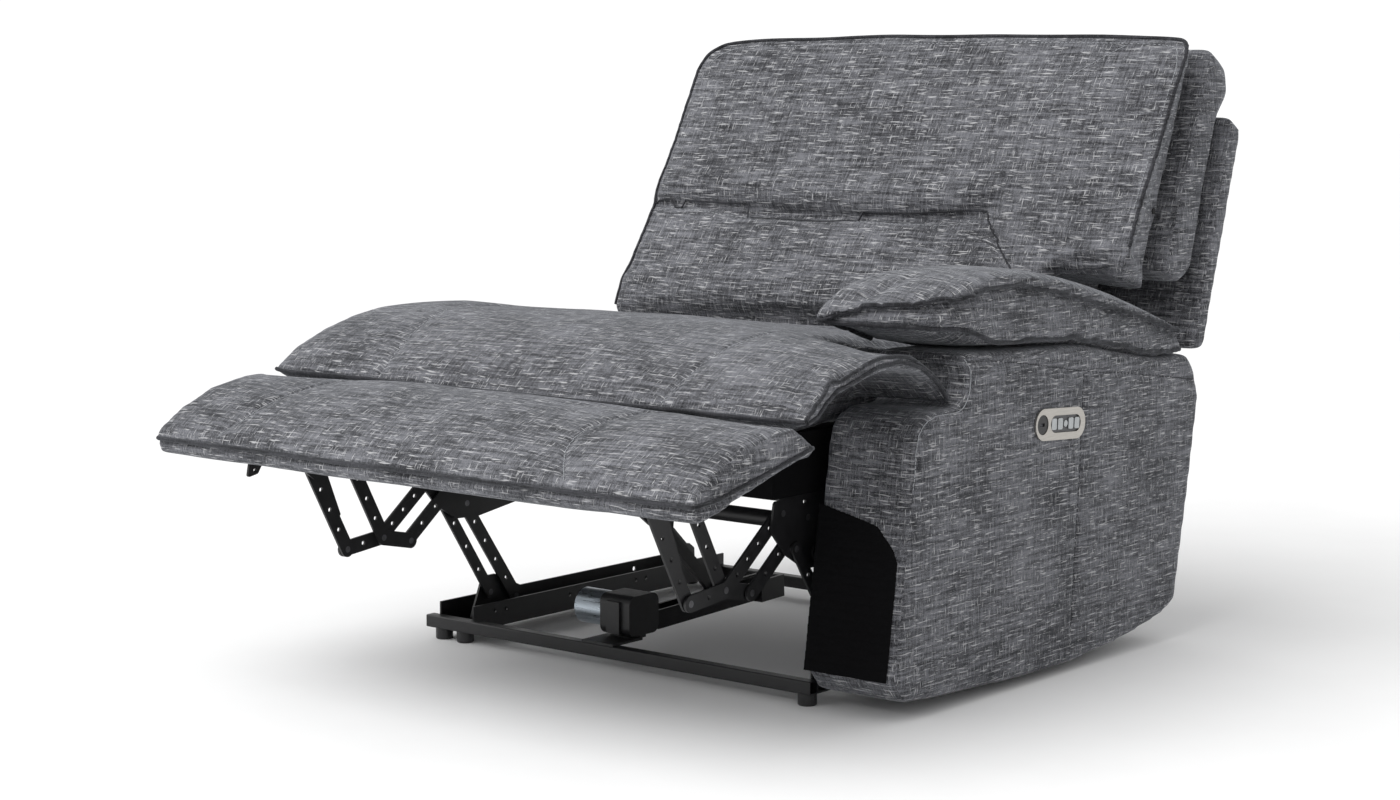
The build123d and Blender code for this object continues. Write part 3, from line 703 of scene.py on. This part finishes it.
def overhang(obj, path, out, tuck):
    """Makes the cloth above a piped line stand proud of the band below it."""
    co = coords(obj.data)
    facing = normals(obj.data)
    line = [spot for spot, _ in snapped(resample(path, 0.010), surface_of(obj))]
    gap = np.full(len(co), 1e9)
    height = np.zeros(len(co))
    for spot in line:
        reach = np.linalg.norm(co - np.array(spot), axis=1)
        height = np.where(reach < gap, co[:, 2] - spot.z, height)
        gap = np.minimum(gap, reach)
    above = out * np.exp(-((gap / 0.020) ** 2)) * (height >= 0)
    below = tuck * np.exp(-((gap / 0.014) ** 2)) * (height < 0)
    facing[:, 2] = 0
    set_coords(obj.data, co + (above - below)[:, None] * facing)


def gather(obj, line, height, pitch, reach):
    """Small gathers that run away from a seam, as cloth puckers where it is sewn to piping."""
    co = coords(obj.data)
    near = np.exp(-((distance_to(co, line) / reach) ** 2))
    phase = np.array([noise.noise(Vector((p[1] * pitch, p[0] * pitch * 0.4, 3.7))) for p in co])
    set_coords(obj.data, co + (height * near * phase)[:, None] * normals(obj.data))


def hold(obj, body, nodes=()):
    """The piece moves with one body and stands in for the CAD nodes named."""
    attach(obj, body)
    if nodes:
        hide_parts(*nodes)
    return obj


def bend_back(obj, nodes=()):
    """The piece runs from the back to the headrest; its transform is baked into its mesh and the CAD nodes
    named are hidden.
    """
    if nodes:
        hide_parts(*nodes)
    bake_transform(obj)
    return obj


def prism(profile, x_low, x_high):
    """The corner points of a straight prism across the seat."""
    return [place(x, y, z) for x in (x_low, x_high) for y, z in profile]


def back_filler():
    """Foam that closes the wedge between the lumbar and headrest cushions."""
    return prism(((677, 668), (704, 728), (770, 750), (790, 700), (784, 672), (738, 640)), -520, 500)


def back_tail():
    """The lower end of the front cushion, which goes down behind the seat cushion."""
    return prism(((574, 500), (566, 444), (632, 444), (640, 490), (640, 560), (600, 560)), -520, 342)


def back_wing():
    """The front cushion's right end, which goes down behind the arm pad."""
    return prism(((645, 612), (654, 574), (735, 552), (746, 600), (720, 660), (670, 660)), 340, 500)


def gusset_filler():
    """Boxing between the two gussets, round the headrest's hinge."""
    return prism(((787, 690), (868, 690), (868, 702), (790, 702)), -520, 512)


def board_filler():
    """Cloth pulled tight round the front of the footrest board."""
    profile = ((-443, 337), (-449, 356), (-449, 372), (-380, 400), (-380, 352))
    return prism(profile, OPEN_SIDE, ARM_EDGE)


# The arm pad's side outline
PAD_PROFILE = (
    (PAD_FRONT, 552), (40, 580), (70, 606), (130, 622), (202, 627), (391, 609), (596, 560), (735, 518),
    (768, 490), (768, 466), (700, 466), (466, 504), (300, 512), (166, 516), (112, 536),
)


def arm_rest():
    """The arm pad as a straight prism, remeshed and then swept back at the front."""
    mesh = bmesh.new()
    ends = [[mesh.verts.new(place(x, y, z)) for y, z in PAD_PROFILE] for x in (PAD_IN, PAD_OUT)]
    mesh.faces.new(ends[0])
    mesh.faces.new(reversed(ends[1]))
    count = len(PAD_PROFILE)
    for i in range(count):
        j = (i + 1) % count
        mesh.faces.new((ends[0][j], ends[0][i], ends[1][i], ends[1][j]))
    obj = finish_mesh(mesh, "arm_rest", FABRIC)
    remesh(obj, ARM_PAD_VOXEL)
    co = coords(obj.data)
    for point in co:
        point[1] += sweep_back(point[0] * 1000, (point[1] + MID_DEPTH) * 1000) / 1000
    set_coords(obj.data, co)
    remesh(obj, ARM_PAD_VOXEL)
    relax(obj, 4)
    shrink(obj, 0.004)
    return obj


def inflated():
    """The cushions whose cloth is simulated."""
    seat_pad = start_cushion("seat_pad", ["seat_cushion"])
    add_cloth(seat_pad, SEAT_SEAMS + SEAT_EDGES)
    foot_pad = start_cushion(
        "footrest_cover", ["footrest_pad", "footrest_board"], [board_filler()],
        voxel=FOOTREST_VOXEL, rounding=3, inset=0.001,
    )
    add_cloth(foot_pad, FOOT_SEAMS + [BAND_SEAM, BAND_FOOT])
    fillers = [back_filler(), back_tail(), back_wing()]
    back_pad = start_cushion("back_pad", ["lumbar_cushion", "headrest_cushion"], fillers)
    round_top(back_pad, left=0.10, right=0.06)
    crown_top(back_pad, 0.010)
    add_cloth(back_pad, [LUMBAR_SEAM, LUMBAR_DROP, BACK_FRAME], VOXEL)
    rest = arm_rest()
    add_cloth(rest, [PAD_UPPER, PAD_LOWER])
    settle({seat_pad: 0.012, foot_pad: 0.010, back_pad: 0.018, rest: 0.012})
    for obj in (seat_pad, foot_pad, back_pad, rest):
        cover(obj, FABRIC)
    return seat_pad, foot_pad, back_pad, rest


def seat_and_footrest(seat_pad, foot_pad):
    for obj, seams in ((seat_pad, SEAT_SEAMS), (foot_pad, FOOT_SEAMS)):
        for line in seams:
            groove(obj, line, SEAM_DEPTH, SEAM_WIDTH)
    groove(foot_pad, lowered(BAND_SEAM, 0.004), depth=0.005, width=0.004)
    ripple(seat_pad, CUSHION_RIPPLE, CUSHION_WAVES, seed=1.3)
    ripple(foot_pad, CUSHION_RIPPLE, CUSHION_WAVES, seed=5.1)
    hold(seat_pad, "seat", ["seat_cushion"])
    hold(foot_pad, "footrest", ["footrest_pad", "footrest_board"])
    seams_on("seat", seat_pad, SEAT_SEAMS, SEAT_EDGES)
    seams_on("footrest", foot_pad, FOOT_SEAMS, [BAND_SEAM])


def padded_arm(rest):
    """Two piped lips round the arm pad, with a gathered band between them."""
    gather(rest, PAD_UPPER, height=0.006, pitch=26, reach=0.02)
    gather(rest, PAD_LOWER, height=0.006, pitch=22, reach=0.022)
    overhang(rest, PAD_UPPER, out=0.007, tuck=0.007)
    overhang(rest, PAD_LOWER, out=0.006, tuck=0.008)
    hold(rest, "seat", ["arm_pad"])
    hold(piping("arm_rest_piping", [PAD_UPPER, PAD_LOWER], rest, SHADED_PIPE_CLOTH, ARM_PIPING_R, 0.002), "seat")


def arm_panels():
    panels = start_cushion("arm_panels", ["arm_cover"], voxel=ARM_PANEL_VOXEL, rounding=3, inset=0)
    cover(panels, FABRIC)
    groove(panels, ARM_TOP_SEAM, PANEL_SEAM_DEPTH, SEAM_WIDTH)
    groove(panels, ARM_MIDDLE_SEAM, PANEL_SEAM_DEPTH, SEAM_WIDTH)
    groove(panels, SHOULDER, depth=0.002, width=0.004)
    ripple(panels, height=0.0015, scale=6, seed=4.4)
    hold(panels, "seat", ["arm_cover"])
    hold(stitching("shoulder_stitching", [SHOULDER], panels, THREAD), "seat")
    hold(stitching("arm_stitching", [ARM_TOP_SEAM, ARM_MIDDLE_SEAM], panels, DARK_THREAD), "seat")


def back_front(back_pad):
    """The back's front cushion: foam rolls over the lumbar seam, which is sewn with a thin dark welt that is
    partly a real seam welt and partly painted shadow under the roll.
    """
    # A groove of negative depth is a roll, and this one stops short of the seam's ends.
    roll = [p + BACK_LEAN * 0.042 for p in LUMBAR_SEAM[8:-4]]
    groove(back_pad, roll, depth=-0.013, width=0.034)
    groove(back_pad, LUMBAR_SEAM, depth=0.013, width=0.009)
    groove(back_pad, LUMBAR_DROP, depth=0.006, width=0.010)
    gather(back_pad, LUMBAR_SEAM, height=0.006, pitch=22, reach=0.05)
    ripple(back_pad, CUSHION_RIPPLE, CUSHION_WAVES, seed=9.2)
    lines = [lowered(LUMBAR_SEAM, 0.011), LUMBAR_DROP, BACK_CURVE, BACK_TOPSTITCH]
    trims = [
        stitching("back_stitching", lines, back_pad, THREAD),
        # A thin tube in the darkened piping cloth along the lumbar seam: a seam welt, and painted shadow
        # under the foam roll.
        piping("lumbar_welt", [LUMBAR_SEAM, LUMBAR_DROP], back_pad, SHADED_PIPE_CLOTH, SHADOW_WELT_R, 0.0005),
        piping("back_edge_piping", [BACK_FRAME], back_pad, SHADED_PIPE_CLOTH),
    ]
    bend_back(back_pad, ["lumbar_cushion", "headrest_cushion"])
    for trim in trims:
        bend_back(trim)


def back_shells():
    outer = start_cushion("back_shell", ["back_outer"], inset=0.001)
    round_top(outer, left=0.03, right=0.03)
    cover(outer, FABRIC)
    hold(outer, "back", ["back_outer"])
    lower = start_cushion("back_lower_cover", ["back_lower"], inset=0.001)
    cover(lower, FABRIC)
    hold(lower, "back", ["back_lower"])
    gussets = ["back_gusset", "headrest_gusset"]
    boxing = start_cushion("back_boxing", gussets, [gusset_filler()], inset=0.001)
    round_top(boxing, left=0.06, right=0.04)
    cover(boxing, FABRIC)
    bend_back(boxing, gussets)


def soft_goods():
    seat_pad, foot_pad, back_pad, rest = inflated()
    seat_and_footrest(seat_pad, foot_pad)
    padded_arm(rest)
    arm_panels()
    back_shells()
    back_front(back_pad)
    front_cloth()


def seams_on(body, pad, seams, edges):
    hold(stitching(f"{body}_stitching", seams, pad, THREAD), body)
    hold(piping(f"{body}_piping", edges, pad, SHADED_PIPE_CLOTH), body)


def front_cloth():
    """Thin black cloth stapled over the arm's lower front."""
    cloth = from_nodes("arm_front_cover", ["arm_front_cloth"])
    remesh(cloth, THIN_CLOTH_VOXEL)
    relax(cloth, 2)
    ripple(cloth, height=0.0006, scale=30, seed=2.0)
    cloth.data.materials.append(DUST_CLOTH)
    smooth_faces(cloth.data)
    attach(cloth, "seat")
    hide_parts("arm_front_cloth")


# ---------------------------------------------------------------- stage

LENS = 69.0
SENSOR = 36.0
AZIMUTH = 39.4
PITCH = 6.82
WORLD_LIGHT = 0.72
SEEN_WORLD_BOOST = 0.35
SKY_LIGHT = 1.7
KEY_LIGHT = 45
FLOOR_HALF = 40
CAMERA_SPOT = place(2648.84, -3025.89, 900)


def camera():
    data = bpy.data.cameras.new("camera")
    data.lens = LENS
    data.sensor_width = SENSOR
    obj = bpy.data.objects.new("camera", data)
    obj.location = CAMERA_SPOT
    obj.rotation_euler = Euler((math.radians(90 - PITCH), 0, math.radians(AZIMUTH)))
    bpy.context.scene.collection.objects.link(obj)
    bpy.context.scene.camera = obj


def lamp(name, kind, power, spot, aim):
    data = bpy.data.lights.new(name, kind)
    data.energy = power
    obj = bpy.data.objects.new(name, data)
    obj.location = spot
    obj.rotation_euler = Vector(aim).to_track_quat("-Z", "Y").to_euler()
    bpy.context.scene.collection.objects.link(obj)
    return data


def world():
    """Even white light, a little brighter where the camera sees it directly."""
    sky = bpy.data.worlds.new("world")
    sky.use_nodes = True
    tree = sky.node_tree
    background = tree.nodes["Background"]
    background.inputs["Color"].default_value = (1, 1, 1, 1)
    seen = tree.nodes.new("ShaderNodeLightPath").outputs["Is Camera Ray"]
    boost = math_node(tree, "MULTIPLY", seen, SEEN_WORLD_BOOST)
    tree.links.new(math_node(tree, "ADD", WORLD_LIGHT, boost), background.inputs["Strength"])
    bpy.context.scene.world = sky


def stage():
    mesh = bmesh.new()
    bmesh.ops.create_grid(mesh, x_segments=1, y_segments=1, size=FLOOR_HALF)
    paint = surface("floor_paint", (0.90, 0.90, 0.90), 0.85, spread=0.01, scale=3)
    finish_mesh(mesh, "floor", paint)
    world()
    bpy.context.scene.view_settings.view_transform = "Standard"
    lamp("sky_light", "SUN", SKY_LIGHT, (0, 0, 0), (0.42, 0.62, -1.0)).angle = math.radians(60)
    key_spot = Vector((-1.4, -3.4, 3.2))
    lamp("key", "AREA", KEY_LIGHT, key_spot, Vector((0, 0, 0.5)) - key_spot).size = 2.4


dress_nodes()
camera()
stage()
soft_goods()
